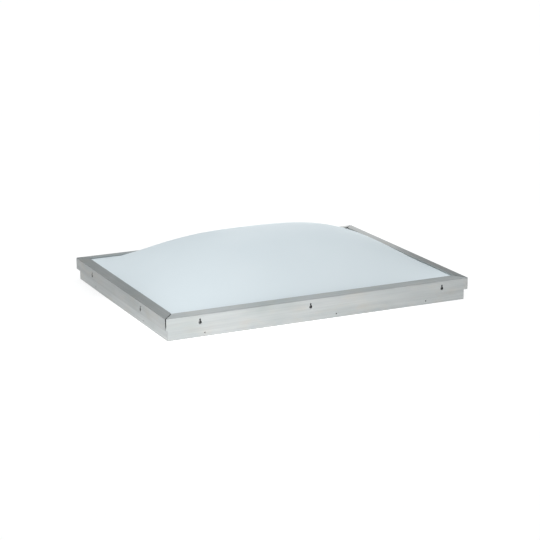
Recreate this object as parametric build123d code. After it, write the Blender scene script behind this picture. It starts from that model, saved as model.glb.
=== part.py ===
from build123d import *
import os
from math import sqrt

# Fixed roof skylight: a blown acrylic dome clamped between two mitred aluminium
# frames, the curb rail below and the retainer above. Millimetres, Z up, origin at
# the centre of the lower edge. The long sides run along X. In every section, n is
# the distance inward from the outer face of the retainer.

# Roof curb that the skylight drops over
curb_length = 1219.2
curb_width = 914.4
curb_wall = 38.0
curb_play = 6.4

# Curb rail extrusion
rail_wall = 2.0
rail_skirt = 44.0
box_height = 33.0
box_width = 31.0
gutter_width = 24.0
gutter_lip = 14.0
rail_joint = 0.4
race_depth = 16.0

# Retainer extrusion
retainer_wall = 2.0
retainer_step = 11.0
retainer_skirt = 45.5
flange_width = 41.0
flange_slope = 0.1122
flange_lip = 5.5
edge_radius = 2.5
lip_radius = 1.0
leg_gap = 10.0
leg_height = 36.5
retainer_joint = 4.0
keeper_wall = 1.2
keeper_depth = 1.6

# Dome
dome_rise = 150.0
dome_wall = 3.0
dome_play = 2.0
dome_lip_gap = 2.0
dome_corner = 12.0
fullness_long = 2.87
fullness_short = 2.37
edge_roll = 0.03
grid_steps = 24

# Seals
tape_height = 3.0
tape_width = 16.0
tape_inset = 4.0
gasket_height = 3.9
gasket_root = 10.2
gasket_foot = 13.6
gasket_foot_height = 1.3
gasket_centre = 31.5
gasket_fit = 0.05
gasket_joint = 0.5
curb_gasket_height = 3.0

# Retainer screws and the keyholes that a driver reaches them through
screw_across_flats = 8.0
screw_head_height = 4.0
screw_shank = 4.8
screw_length = 16.0
screw_fit = 0.15
washer_diameter = 12.0
washer_height = 1.5
keyhole_diameter = 12.5
keyhole_slot = 5.5
keyhole_rise = 12.0
keyhole_height = 16.25
long_screw_ends = (134.0, 117.0)
long_screw_middle = -51.0
short_screw_ends = (188.5, 245.0)

# Holes for the nails or screws that fix the skirt to the curb
fixing_diameter = 4.8
fixing_height = 14.0
long_fixing_ends = (157.0, 181.0)
long_fixing_middle = 62.0
short_fixing_ends = (195.0, 243.0)

# Weep slots that drain the gutter through the rail's hollow
weep_length = 12.0
weep_height = 3.0
weep_share = 0.25

# Corner cleats in the rail's upper chamber
cleat_leg = 60.0
cleat_wall = 4.0
cleat_fit = 0.2

# Sizes in plan that follow from the curb, as distances n from the retainer's face
retainer_length = curb_length + 2 * (curb_play + rail_wall + retainer_step)
retainer_width = curb_width + 2 * (curb_play + rail_wall + retainer_step)
leg_n = retainer_wall + leg_gap
box_n = leg_n + retainer_wall
box_inner_n = box_n + box_width
gutter_n = box_inner_n + gutter_width + rail_wall
curb_n = retainer_step + rail_wall + curb_play
dome_edge_n = box_n + dome_play
dome_n = flange_width + dome_lip_gap

# Levels that follow from the stack of rail, tape, dome and gasket
shelf_z = rail_skirt
hollow_z = shelf_z + rail_wall
seat_z = hollow_z + box_height
dome_flange_z = seat_z + tape_height
dome_z = dome_flange_z + dome_wall
flange_drop = retainer_wall * sqrt(1 + flange_slope**2)
retainer_z = dome_z + gasket_height - gasket_centre * flange_slope + flange_drop
skirt_foot_z = retainer_z - retainer_skirt
screw_z = skirt_foot_z + keyhole_height


def flange_underside(n):
    """Level of the underside of the retainer's sloping flange at distance n."""
    return retainer_z - flange_drop + n * flange_slope


def leg(n, bottom, top, wall):
    """Upright wall of a section, from distance n inward."""
    return Pos(n + wall / 2, (bottom + top) / 2) * Rectangle(wall, top - bottom)


def web(start, end, bottom, wall):
    """Level wall of a section, between two distances n."""
    return Pos((start + end) / 2, bottom + wall / 2) * Rectangle(end - start, wall)


def rail_section():
    """Curb rail: skirt, shelf on the curb, box with a screw race, and gutter."""
    skirt = leg(retainer_step, 0, hollow_z, rail_wall)
    shelf = web(retainer_step, gutter_n, shelf_z, rail_wall)
    box = leg(box_n, shelf_z, seat_z, box_width)
    hollow = leg(box_n + rail_wall, hollow_z, seat_z - rail_wall, box_width - 2 * rail_wall)
    lip = leg(gutter_n - rail_wall, shelf_z, shelf_z + gutter_lip, rail_wall)
    # The race is a slot along the whole length, which the screws cut their thread in
    race_wall = leg(box_n, race_z(-1) - rail_wall, race_z(1) + rail_wall, race_depth + rail_wall)
    race = leg(box_n, race_z(-1), race_z(1), race_depth)
    return skirt + shelf + lip + (box - hollow) + race_wall - race


def race_z(side):
    """Level of one flank of the screw race, lower for -1 and upper for 1."""
    return screw_z + side * (screw_shank / 2 + screw_fit)


def retainer_section():
    """Retainer: outer skirt, sloping flange and lip of one wall, with the inner leg below."""
    lip_z = retainer_z + flange_width * flange_slope
    skin = FilletPolyline(
        (0, skirt_foot_z),
        (0, retainer_z),
        (flange_width, lip_z),
        (flange_width, lip_z - flange_lip),
        radius=[edge_radius, lip_radius],
    )
    shell = make_face(offset(skin, retainer_wall, side=Side.RIGHT).edges())
    inner_leg = hung_wall(leg_n, retainer_z - leg_height, retainer_wall)
    keepers = [
        hung_wall(n, flange_underside(n) - keeper_depth, keeper_wall)
        for n in (gasket_n(-1) - gasket_fit - keeper_wall, gasket_n(1) + gasket_fit)
    ]
    return shell + inner_leg + keepers


def gasket_n(side):
    """Distance n of one flank of the gasket's root, outer for -1 and inner for 1."""
    return gasket_centre + side * gasket_root / 2


def hung_wall(n, bottom, wall):
    """Upright wall that hangs from the middle of the retainer's flange down to a level."""
    return leg(n, bottom, flange_underside(n) + retainer_wall / 2, wall)


def gasket_section():
    """Gasket: a root between the keepers, against the flange, on a wider sealing foot."""
    foot = web(
        gasket_centre - gasket_foot / 2, gasket_centre + gasket_foot / 2, dome_z, gasket_foot_height
    )
    outer, inner = gasket_n(-1), gasket_n(1)
    root = make_face(
        Polyline(
            (outer, dome_z),
            (inner, dome_z),
            (inner, flange_underside(inner)),
            (outer, flange_underside(outer)),
            close=True,
        )
    )
    return foot + root


def mitred(section, length, joint):
    """Length of an extrusion along X, its outer face on Y = 0, with 45 degree ends."""
    bar = extrude(Plane.YZ * section, amount=length / 2, both=True)
    depth = section.bounding_box().max.X
    outer = length / 2 - joint / sqrt(2)
    plan = Polyline((-outer, 0), (outer, 0), (outer - depth, depth), (depth - outer, depth), close=True)
    return bar & extrude(make_face(plan), amount=retainer_z + flange_width)


def side_plane(x, n, z):
    """Plane in a side's own frame that faces inward from distance n, its Y upward."""
    return Plane((x, n, z), x_dir=(-1, 0, 0), z_dir=(0, 1, 0))


def bore(x, n, z, diameter, depth):
    """Round hole or pin through a side, from distance n inward."""
    return extrude(side_plane(x, n, z) * Circle(diameter / 2), amount=depth)


def spots(length, ends, middle=None):
    """Places along a side, given from its two ends and, for one more, from its middle."""
    places = [ends[0] - length / 2, length / 2 - ends[1]]
    return places if middle is None else places + [middle]


def on_side(shape, name):
    """Move a piece from a side's own frame to the named side of the skylight."""
    turns = {"front": 0, "right": 90, "back": 180, "left": 270}
    reach = retainer_width if name in ("front", "back") else retainer_length
    return Rot(Z=turns[name]) * Pos(0, -reach / 2, 0) * shape


def retainer_length_of(length, screws):
    """One retainer length, with its keyholes and the clearance holes of its screws."""
    bar = mitred(retainer_section(), length, retainer_joint)
    for x in screws:
        keyhole = Circle(keyhole_diameter / 2)
        keyhole += Pos(0, keyhole_rise / 2) * Rectangle(keyhole_slot, keyhole_rise)
        keyhole += Pos(0, keyhole_rise) * Circle(keyhole_slot / 2)
        bar -= extrude(side_plane(x, 0, screw_z) * keyhole, amount=retainer_wall)
        bar -= bore(x, leg_n, screw_z, screw_shank + 2 * screw_fit, retainer_wall)
    return bar


def rail_length_of(length, fixings):
    """One rail length, with its skirt fixing holes and weep slots."""
    bar = mitred(rail_section(), length, rail_joint)
    for x in fixings:
        bar -= bore(x, retainer_step, fixing_height, fixing_diameter, rail_wall)
    for side in (-1, 1):
        slot = Pos(side * weep_share * length, box_n + box_width / 2, hollow_z + weep_height / 2)
        bar -= slot * Box(weep_length, box_width, weep_height)
    return bar


def screw(x):
    """Hex-head screw driven inward at place x, its head on the washer."""
    seat_n = leg_n - washer_height
    head = RegularPolygon(screw_across_flats / 2, 6, major_radius=False)
    body = extrude(side_plane(x, seat_n, screw_z) * head, amount=-screw_head_height)
    return body + bore(x, seat_n, screw_z, screw_shank, screw_length)


def washer(x):
    """Sealing washer between a screw's head and the retainer's leg."""
    ring = Circle(washer_diameter / 2) - Circle(screw_shank / 2 + screw_fit)
    return extrude(side_plane(x, leg_n - washer_height, screw_z) * ring, amount=washer_height)


def frame_ring(outer_n, inner_n, bottom, height, corner=0.0):
    """Flat rectangular ring between two distances n, with rounded outer corners."""
    outer = Rectangle(retainer_length - 2 * outer_n, retainer_width - 2 * outer_n)
    if corner:
        outer = fillet(outer.vertices(), corner)
    inner = Rectangle(retainer_length - 2 * inner_n, retainer_width - 2 * inner_n)
    return extrude(Pos(0, 0, bottom) * (outer - inner), amount=height)


def dome_height(u, v):
    """Height of the bubble over its flange, at shares u and v of its half sides."""
    swell = (1 - abs(u) ** fullness_long) * (1 - abs(v) ** fullness_short)
    return dome_rise * swell**2 * (1 + edge_roll) / (swell + edge_roll)


def dome():
    """Blown sheet: a bubble that rolls down into a flat flange, all of one wall."""
    half_length = retainer_length / 2 - dome_n
    half_width = retainer_width / 2 - dome_n
    shares = [2 * step / grid_steps - 1 for step in range(grid_steps + 1)]
    points = [
        [(half_length * u, half_width * v, dome_z + dome_height(u, v)) for v in shares] for u in shares
    ]
    skin = Face.make_surface_from_array_of_points(points, tol=0.02)
    bubble = Solid.extrude(skin, Vector(0, 0, -dome_wall))
    return frame_ring(dome_edge_n, dome_n, dome_flange_z, dome_wall, dome_corner) + bubble


def corner_cleat(x_side, y_side):
    """Slice of an L extrusion with three cells, in the rail's chamber above the screw race."""
    outer_n = box_n + rail_wall + cleat_fit
    width = box_width - 2 * (rail_wall + cleat_fit)
    floor_z = race_z(1) + rail_wall + cleat_fit
    arm = width + cleat_leg
    cell = cleat_leg - 2 * cleat_wall
    plan = Rectangle(arm, width, align=Align.MIN) + Rectangle(width, arm, align=Align.MIN)
    plan -= Pos(width + cleat_wall, cleat_wall) * Rectangle(cell, width - 2 * cleat_wall, align=Align.MIN)
    plan -= Pos(cleat_wall, width + cleat_wall) * Rectangle(width - 2 * cleat_wall, cell, align=Align.MIN)
    plan -= Pos(cleat_wall, cleat_wall) * Rectangle(
        width - 2 * cleat_wall, width - 2 * cleat_wall, align=Align.MIN
    )
    cleat = extrude(plan, amount=seat_z - rail_wall - cleat_fit - floor_z)
    corner = Pos(retainer_length / 2 - outer_n, retainer_width / 2 - outer_n, floor_z)
    placed = corner * Rot(Z=180) * cleat
    if x_side < 0:
        placed = mirror(placed, Plane.YZ)
    if y_side < 0:
        placed = mirror(placed, Plane.XZ)
    return placed


def build():
    """Every piece of the skylight by name."""
    pieces = {"dome": dome()}
    for name in ("front", "back", "left", "right"):
        if name in ("front", "back"):
            length = retainer_length
            screws = spots(length, long_screw_ends, long_screw_middle)
            fixings = spots(length, long_fixing_ends, long_fixing_middle)
        else:
            length = retainer_width
            screws = spots(length, short_screw_ends)
            fixings = spots(length, short_fixing_ends)
        pieces[f"retainer_{name}"] = on_side(retainer_length_of(length, screws), name)
        pieces[f"curb_rail_{name}"] = on_side(rail_length_of(length, fixings), name)
        pieces[f"retainer_gasket_{name}"] = on_side(
            mitred(gasket_section(), length, gasket_joint), name
        )
        for kind, fastener in (("retainer_screws", screw), ("screw_washers", washer)):
            row = Compound(children=[fastener(x) for x in screws])
            pieces[f"{kind}_{name}"] = on_side(row, name)
    for end, x_side in (("left", -1), ("right", 1)):
        for row, y_side in (("front", -1), ("back", 1)):
            pieces[f"corner_cleat_{row}_{end}"] = corner_cleat(x_side, y_side)
    tape_n = box_n + tape_inset
    pieces["glazing_tape"] = frame_ring(tape_n, tape_n + tape_width, seat_z, tape_height)
    pieces["curb_gasket"] = frame_ring(
        curb_n, curb_n + curb_wall, shelf_z - curb_gasket_height, curb_gasket_height
    )
    return pieces


os.makedirs("parts", exist_ok=True)
for node, shape in build().items():
    export_step(shape, f"parts/{node}.step")
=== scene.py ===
from math import cos, radians, sin

import bpy
from mathutils import Matrix, Vector


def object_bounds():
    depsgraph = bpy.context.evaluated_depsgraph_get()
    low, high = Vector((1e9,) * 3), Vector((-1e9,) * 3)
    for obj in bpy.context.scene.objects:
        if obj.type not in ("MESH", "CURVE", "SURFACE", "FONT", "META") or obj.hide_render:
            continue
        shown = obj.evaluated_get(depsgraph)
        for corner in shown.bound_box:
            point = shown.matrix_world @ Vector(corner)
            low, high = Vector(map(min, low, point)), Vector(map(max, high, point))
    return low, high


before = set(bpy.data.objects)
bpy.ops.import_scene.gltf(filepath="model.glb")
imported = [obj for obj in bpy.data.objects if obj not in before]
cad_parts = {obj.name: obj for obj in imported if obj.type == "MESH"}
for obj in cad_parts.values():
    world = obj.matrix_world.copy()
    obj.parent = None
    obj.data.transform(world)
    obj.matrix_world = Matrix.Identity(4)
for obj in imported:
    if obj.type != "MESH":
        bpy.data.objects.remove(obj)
cad_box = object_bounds()

# The photograph's camera, by its angles, its distance and where it aims
CAMERA_YAW = 0.44585
CAMERA_PITCH = 0.26608
CAMERA_ROLL = -0.00277
CAMERA_DISTANCE = 6.6547
CAMERA_LENS = 112.28
CAMERA_SENSOR = 36.0
CAMERA_CLIP = (0.1, 100)
AIM_HEIGHT = 0.0503
AIM_RIGHT = 0.00939
AIM_UP = 0.02519

# Floor: its side, how far below the frame's foot it lies, its grain and its two tones
FLOOR_SIDE = 60
FLOOR_DROP = 0.0002
FLOOR_GRAIN = 4.0
FLOOR_ROUGHNESS = 0.9
FLOOR_TONES = ((0.30, 0.30, 0.30), (0.32, 0.32, 0.32))

# Floor glow, with a painted pool of light in front of the near corner, and no glow under the
# frame, which paints shade under it
FLOOR_GLOW = 0.75
PAINTED_POOL_GLOW = 0.8
POOL_PLACE = (-0.42, -0.68, 0.0)
POOL_REACH = (1.2, 0.9, 1.0)
SHADE_UNDER_FRAME_INSET = 0.016

# Surround: its strength low down and overhead, how each leans along X and Y, and the
# elevations in degrees between which the one turns into the other
LOW_LEVEL = 0.16
LOW_LEAN = (0.15, 0.05, 0.0)
HIGH_LEVEL = 1.25
HIGH_LEAN = (-0.9, 0.15, 0.0)
RAMP_START = 20
RAMP_END = 55
SURROUND_COLOUR = (0.965, 0.99, 1.0)

# Soft lamps, each with its place, its aim, its two sides and its power: one low in front of
# the near corner, and two weak ones behind, for the sheen on the sloping flanges
LAMPS = {
    "key": ((-1.1, -1.4, 0.35), (-0.6, -0.45, 0.03), (0.6, 0.6), 5.0),
    "low_card": ((0.65, 0.91, 0.3), (0.2, -0.05, 0.2), (0.9, 0.4), 1.1),
    "high_card": ((0.51, 1.42, 0.95), (-0.3, -0.2, 0.1), (0.55, 0.55), 1.3),
}

# Range that most noise values fall in
NOISE_LOW = 0.3
NOISE_HIGH = 0.7

# Aluminium: the share of mirror-like reflection, the range of roughness, the tones of the bare
# metal, and the share of them that each frame keeps on its short sides as painted shade
# that darkens those sides; their drawing lines run the other way
METALLIC = 0.75
METAL_ROUGHNESS = (0.38, 0.52)
METAL_TONES = ((0.490, 0.515, 0.516), (0.545, 0.564, 0.560))
SHORT_SIDE_SHADES = {"retainer": 0.77, "curb_rail": 0.88}

# Noise of the metal: its scale across and along the extrusion, its detail and its roughness
GRAINS = {
    "clouds": (14.0, 5.0, 2.0, 0.5),
    "stains": (9.0, 3.5, 3.0, 0.6),
    "bands": (75.0, 4.5, 2.0, 0.5),
    "lines": (260.0, 3.0, 3.0, 0.6),
}
BLOTCH_SCALE = (11.0, 11.0, 22.0)

# What lies over the bare metal: its noise, its greatest share, the noise values between which
# it comes in, and its tone
OVERLAYS = (
    ("blotches", 0.55, 0.50, 0.75, (0.575, 0.535, 0.475)),
    ("stains", 0.4, 0.48, 0.72, (0.350, 0.400, 0.380)),
    ("bands", 0.45, 0.45, 0.75, (0.400, 0.435, 0.445)),
    ("lines", 0.3, NOISE_LOW, NOISE_HIGH, (0.40, 0.425, 0.43)),
)
LINE_RELIEF = (0.12, 0.0002)

# Painted shade in the gaps and holes: how far the metal is looked through for them, its values
# in a closed gap and on a free face, and its dark tone
GAP_REACH = 0.03
GAP_CLOSED = 0.35
GAP_FREE = 0.62
GAP_PAINTED_SHADE = (0.012, 0.014, 0.017)

# Opal acrylic: its clouds, its dust, and how weakly its satin face mirrors
ACRYLIC_TONES = ((0.730, 0.800, 0.835), (0.752, 0.818, 0.850))
ACRYLIC_CLOUDS = 3.0
ACRYLIC_DUST = 90.0
ACRYLIC_ROUGHNESS = (0.42, 0.52)
ACRYLIC_IOR = 1.49
ACRYLIC_SPECULAR = 0.05

# Rubber and foam: the tone and the grain of each, and what they share
RUBBERS = {
    "gasket_rubber": ((0.02, 0.02, 0.022), 600.0),
    "foam": ((0.05, 0.05, 0.055), 250.0),
    "washer_rubber": ((0.02, 0.02, 0.02), 600.0),
}
RUBBER_LIGHTER = 1.6
RUBBER_RELIEF = (0.3, 0.0003)
RUBBER_ROUGHNESS = (0.7, 0.9)

# Screw steel, toned dark as painted shade of the keyholes that the heads sit in
STEEL_SHADED_TONES = ((0.13, 0.135, 0.14), (0.20, 0.20, 0.20))
STEEL_GRAIN = 900.0
STEEL_ROUGHNESS = (0.3, 0.45)

LONG_SIDES = ("front", "back")
SHORT_SIDES = ("left", "right")
SIDES = LONG_SIDES + SHORT_SIDES


def make_camera():
    """Camera at the photograph's viewing angle, with no shift and no depth of field."""
    flat = cos(CAMERA_PITCH)
    forward = Vector((sin(CAMERA_YAW) * flat, cos(CAMERA_YAW) * flat, -sin(CAMERA_PITCH)))
    level = Vector((cos(CAMERA_YAW), -sin(CAMERA_YAW), 0))
    upright = level.cross(forward)
    right = level * cos(CAMERA_ROLL) + upright * sin(CAMERA_ROLL)
    up = upright * cos(CAMERA_ROLL) - level * sin(CAMERA_ROLL)
    aim = Vector((0, 0, AIM_HEIGHT)) + right * AIM_RIGHT + up * AIM_UP
    place = aim - forward * CAMERA_DISTANCE
    data = bpy.data.cameras.new("photo_camera")
    data.sensor_width = CAMERA_SENSOR
    data.lens = CAMERA_LENS
    data.clip_start, data.clip_end = CAMERA_CLIP
    camera = bpy.data.objects.new("photo_camera", data)
    turn = Matrix((right, up, -forward)).transposed()
    camera.matrix_world = Matrix.Translation(place) @ turn.to_4x4()
    bpy.context.collection.objects.link(camera)
    bpy.context.scene.camera = camera


class Graph:
    """The nodes of one procedural material, made and joined in short calls."""

    def __init__(self, name):
        self.material = bpy.data.materials.new(name)
        self.material.use_nodes = True
        self.nodes = self.material.node_tree.nodes
        self.links = self.material.node_tree.links
        self.shader = self.nodes["Principled BSDF"]
        self.place = self.nodes.new("ShaderNodeTexCoord").outputs["Object"]

    def join(self, source, socket):
        """Feed a socket from another node's output, or set it to a plain value."""
        if isinstance(source, bpy.types.NodeSocket):
            self.links.new(source, socket)
        else:
            socket.default_value = source

    def stretch(self, scale):
        """The object's own coordinates, scaled along each axis."""
        node = self.nodes.new("ShaderNodeMapping")
        self.join(self.place, node.inputs["Vector"])
        node.inputs["Scale"].default_value = scale
        return node.outputs["Vector"]

    def noise(self, place, scale, detail=2.0, roughness=0.5):
        """Cloudy variation from 0 to 1."""
        node = self.nodes.new("ShaderNodeTexNoise")
        self.join(place, node.inputs["Vector"])
        node.inputs["Scale"].default_value = scale
        node.inputs["Detail"].default_value = detail
        node.inputs["Roughness"].default_value = roughness
        return node.outputs["Fac"]

    def spread(self, value, low, high, start=NOISE_LOW, end=NOISE_HIGH):
        """Take a value between start and end to the range from low to high."""
        node = self.nodes.new("ShaderNodeMapRange")
        self.join(value, node.inputs["Value"])
        node.inputs["From Min"].default_value = start
        node.inputs["From Max"].default_value = end
        node.inputs["To Min"].default_value = low
        node.inputs["To Max"].default_value = high
        return node.outputs["Result"]

    def mix(self, factor, first, second):
        """Mix two colours by a factor."""
        node = self.nodes.new("ShaderNodeMix")
        node.data_type = "RGBA"
        self.join(factor, node.inputs["Factor"])
        colours = [s for s in node.inputs if s.type == "RGBA"]
        for source, socket in zip((first, second), colours):
            plain = not isinstance(source, bpy.types.NodeSocket)
            self.join((*source, 1) if plain else source, socket)
        return next(s for s in node.outputs if s.type == "RGBA")

    def bump(self, height, strength, distance):
        """Send a height to the shader as relief."""
        node = self.nodes.new("ShaderNodeBump")
        node.inputs["Strength"].default_value = strength
        node.inputs["Distance"].default_value = distance
        self.join(height, node.inputs["Height"])
        self.join(node.outputs["Normal"], self.shader.inputs["Normal"])

    def recess_shade_mask(self, reach, closed, free):
        """Mask for painted shade: 0 deep in the piece's own gaps and holes, 1 on its open faces.
        """
        node = self.nodes.new("ShaderNodeAmbientOcclusion")
        node.only_local = True
        node.inputs["Distance"].default_value = reach
        return self.spread(node.outputs["AO"], 0.0, 1.0, closed, free)

    def finish(self, colour, roughness, **fixed):
        """Feed colour and roughness to the shader, and set its fixed values."""
        self.join(colour, self.shader.inputs["Base Color"])
        self.join(roughness, self.shader.inputs["Roughness"])
        for name, value in fixed.items():
            self.shader.inputs[name.replace("_", " ")].default_value = value
        return self.material


def extruded_metal(name, along, tone):
    """Mill-finish aluminium: clouds and stains, bands and drawing lines along one axis, painted
    shade in its gaps and holes, and painted shade by a darker tone on short sides.
    """
    graph = Graph(name)

    # Tones scaled down on the short sides: painted shade
    def side_shaded(colour):
        return tuple(tone * value for value in colour)

    noises = {"blotches": graph.noise(graph.stretch(BLOTCH_SCALE), 1.0, 2.0)}
    for kind, (across, length, detail, roughness) in GRAINS.items():
        scale = [across, across, across]
        scale[along] = length
        noises[kind] = graph.noise(graph.stretch(scale), 1.0, detail, roughness)
    metal = graph.mix(graph.spread(noises["clouds"], 0.0, 1.0), *map(side_shaded, METAL_TONES))
    for kind, share, start, end, colour in OVERLAYS:
        cover = graph.spread(noises[kind], 0.0, share, start, end)
        metal = graph.mix(cover, metal, side_shaded(colour))
    # Painted shade in the piece's own gaps and holes
    metal = graph.mix(graph.recess_shade_mask(GAP_REACH, GAP_CLOSED, GAP_FREE), GAP_PAINTED_SHADE, metal)
    graph.bump(noises["lines"], *LINE_RELIEF)
    roughness = graph.spread(noises["lines"], *METAL_ROUGHNESS)
    return graph.finish(metal, roughness, Metallic=METALLIC)


def opal_acrylic():
    """White acrylic sheet: satin, slightly cloudy, a little dusty."""
    graph = Graph("opal_acrylic")
    clouds = graph.noise(graph.place, ACRYLIC_CLOUDS)
    dust = graph.noise(graph.place, ACRYLIC_DUST, 4.0)
    colour = graph.mix(graph.spread(clouds, 0.0, 1.0), *ACRYLIC_TONES)
    roughness = graph.spread(dust, *ACRYLIC_ROUGHNESS)
    return graph.finish(colour, roughness, IOR=ACRYLIC_IOR, Specular_IOR_Level=ACRYLIC_SPECULAR)


def rubber(name):
    """Matt rubber or foam with a fine grain."""
    graph = Graph(name)
    tone, grain = RUBBERS[name]
    speck = graph.noise(graph.place, grain, 3.0)
    lighter = tuple(RUBBER_LIGHTER * value for value in tone)
    shade = graph.mix(graph.spread(speck, 0.0, 1.0), tone, lighter)
    graph.bump(speck, *RUBBER_RELIEF)
    return graph.finish(shade, graph.spread(speck, *RUBBER_ROUGHNESS))


def steel():
    """Dull stainless screw steel, toned dark as painted shade of the keyholes."""
    graph = Graph("screw_steel")
    speck = graph.noise(graph.place, STEEL_GRAIN)
    # Dark steel tones: painted shade of the keyholes
    shade = graph.mix(graph.spread(speck, 0.0, 1.0), *STEEL_SHADED_TONES)
    return graph.finish(shade, graph.spread(speck, *STEEL_ROUGHNESS), Metallic=1.0)


def dress(material, *names):
    """Give CAD nodes a material in place of the plain one that they came with."""
    for name in names:
        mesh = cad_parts[name].data
        mesh.materials.clear()
        mesh.materials.append(material)


def dress_all():
    """Every CAD node's material."""
    # Short sides get a darker copy of the metal as painted shade
    for part, short_side_shade in SHORT_SIDE_SHADES.items():
        for along, sides, tone in ((0, LONG_SIDES, 1.0), (1, SHORT_SIDES, short_side_shade)):
            metal = extruded_metal(f"{part}_aluminium_" + "xy"[along], along, tone)
            dress(metal, *(f"{part}_{side}" for side in sides))
    cleat = extruded_metal("cleat_aluminium", 2, 1.0)
    dress(cleat, *(f"corner_cleat_{row}_{end}" for row in LONG_SIDES for end in SHORT_SIDES))
    dress(opal_acrylic(), "dome")
    dress(rubber("gasket_rubber"), *(f"retainer_gasket_{s}" for s in SIDES))
    dress(rubber("foam"), "glazing_tape", "curb_gasket")
    dress(steel(), *(f"retainer_screws_{s}" for s in SIDES))
    dress(rubber("washer_rubber"), *(f"screw_washers_{s}" for s in SIDES))


def make_floor():
    """Plain pale floor, far past the view, that glows softly, with a painted pool of light by
    the near corner and painted shade under the frame.
    """
    bpy.ops.mesh.primitive_plane_add(size=FLOOR_SIDE, location=(0, 0, -FLOOR_DROP))
    floor = bpy.context.object
    floor.name = "floor"
    graph = Graph("floor")

    def operate(kind, operation, first, second=None):
        """Result of a maths node on one or two sources."""
        node = graph.nodes.new(kind)
        node.operation = operation
        graph.join(first, node.inputs[0])
        if second is not None:
            graph.join(second, node.inputs[1])
        return node.outputs[0]

    # Painted pool of light on the floor in front of the near corner
    painted_pool = graph.nodes.new("ShaderNodeMapping")
    painted_pool.vector_type = "TEXTURE"
    painted_pool.inputs["Location"].default_value = POOL_PLACE
    painted_pool.inputs["Scale"].default_value = POOL_REACH
    graph.join(graph.place, painted_pool.inputs["Vector"])
    fall = graph.nodes.new("ShaderNodeTexGradient")
    fall.gradient_type = "SPHERICAL"
    graph.join(painted_pool.outputs["Vector"], fall.inputs["Vector"])
    glow = graph.spread(fall.outputs["Fac"], FLOOR_GLOW, FLOOR_GLOW + PAINTED_POOL_GLOW, 0.0, 1.0)

    # No glow inside the frame's outline: painted shade under the frame
    half = [side / 2 - SHADE_UNDER_FRAME_INSET for side in (cad_box[1] - cad_box[0])[:2]]
    reach = operate("ShaderNodeVectorMath", "ABSOLUTE", graph.place)
    reach = operate("ShaderNodeVectorMath", "DIVIDE", reach, (*half, 1.0))
    split = graph.nodes.new("ShaderNodeSeparateXYZ")
    graph.join(reach, split.inputs["Vector"])
    edge = operate("ShaderNodeMath", "MAXIMUM", split.outputs["X"], split.outputs["Y"])
    clear = operate("ShaderNodeMath", "GREATER_THAN", edge, 1.0)
    glow = operate("ShaderNodeMath", "MULTIPLY", glow, clear)

    fleck = graph.noise(graph.place, FLOOR_GRAIN)
    pale = graph.mix(graph.spread(fleck, 0.0, 1.0), *FLOOR_TONES)
    graph.shader.inputs["Emission Color"].default_value = (1, 1, 1, 1)
    graph.join(glow, graph.shader.inputs["Emission Strength"])
    floor.data.materials.append(graph.finish(pale, FLOOR_ROUGHNESS, Specular_IOR_Level=0.0))


def make_world():
    """Surround that is dim low down and bright overhead, and leans to one side at each level."""
    world = bpy.data.worlds.new("studio")
    world.use_nodes = True
    nodes, links = world.node_tree.nodes, world.node_tree.links
    place = nodes.new("ShaderNodeTexCoord").outputs["Generated"]

    def lean(axis, level):
        """Value that grows along an axis of the surround, from its level across that axis."""
        dot = nodes.new("ShaderNodeVectorMath")
        dot.operation = "DOT_PRODUCT"
        links.new(place, dot.inputs[0])
        dot.inputs[1].default_value = axis
        add = nodes.new("ShaderNodeMath")
        add.operation = "ADD"
        links.new(dot.outputs["Value"], add.inputs[0])
        add.inputs[1].default_value = level
        return add.outputs["Value"]

    ramp = nodes.new("ShaderNodeMapRange")
    ramp.interpolation_type = "SMOOTHSTEP"
    links.new(lean((0, 0, 1), 0), ramp.inputs["Value"])
    links.new(lean(LOW_LEAN, LOW_LEVEL), ramp.inputs["To Min"])
    links.new(lean(HIGH_LEAN, HIGH_LEVEL), ramp.inputs["To Max"])
    ramp.inputs["From Min"].default_value = sin(radians(RAMP_START))
    ramp.inputs["From Max"].default_value = sin(radians(RAMP_END))
    background = nodes["Background"]
    background.inputs["Color"].default_value = (*SURROUND_COLOUR, 1)
    links.new(ramp.outputs["Result"], background.inputs["Strength"])
    bpy.context.scene.world = world


def make_lamp(name, place, aim, sides, power):
    """Soft lamp, which the camera itself doesn't see."""
    data = bpy.data.lights.new(name, "AREA")
    data.shape = "RECTANGLE"
    data.size, data.size_y = sides
    data.energy = power
    lamp = bpy.data.objects.new(name, data)
    lamp.location = place
    lamp.rotation_euler = (Vector(aim) - Vector(place)).to_track_quat("-Z", "Y").to_euler()
    lamp.visible_camera = False
    bpy.context.collection.objects.link(lamp)


make_camera()
make_floor()
make_world()
for name, setting in LAMPS.items():
    make_lamp(name, *setting)
bpy.context.scene.view_settings.view_transform = "Standard"
dress_all()
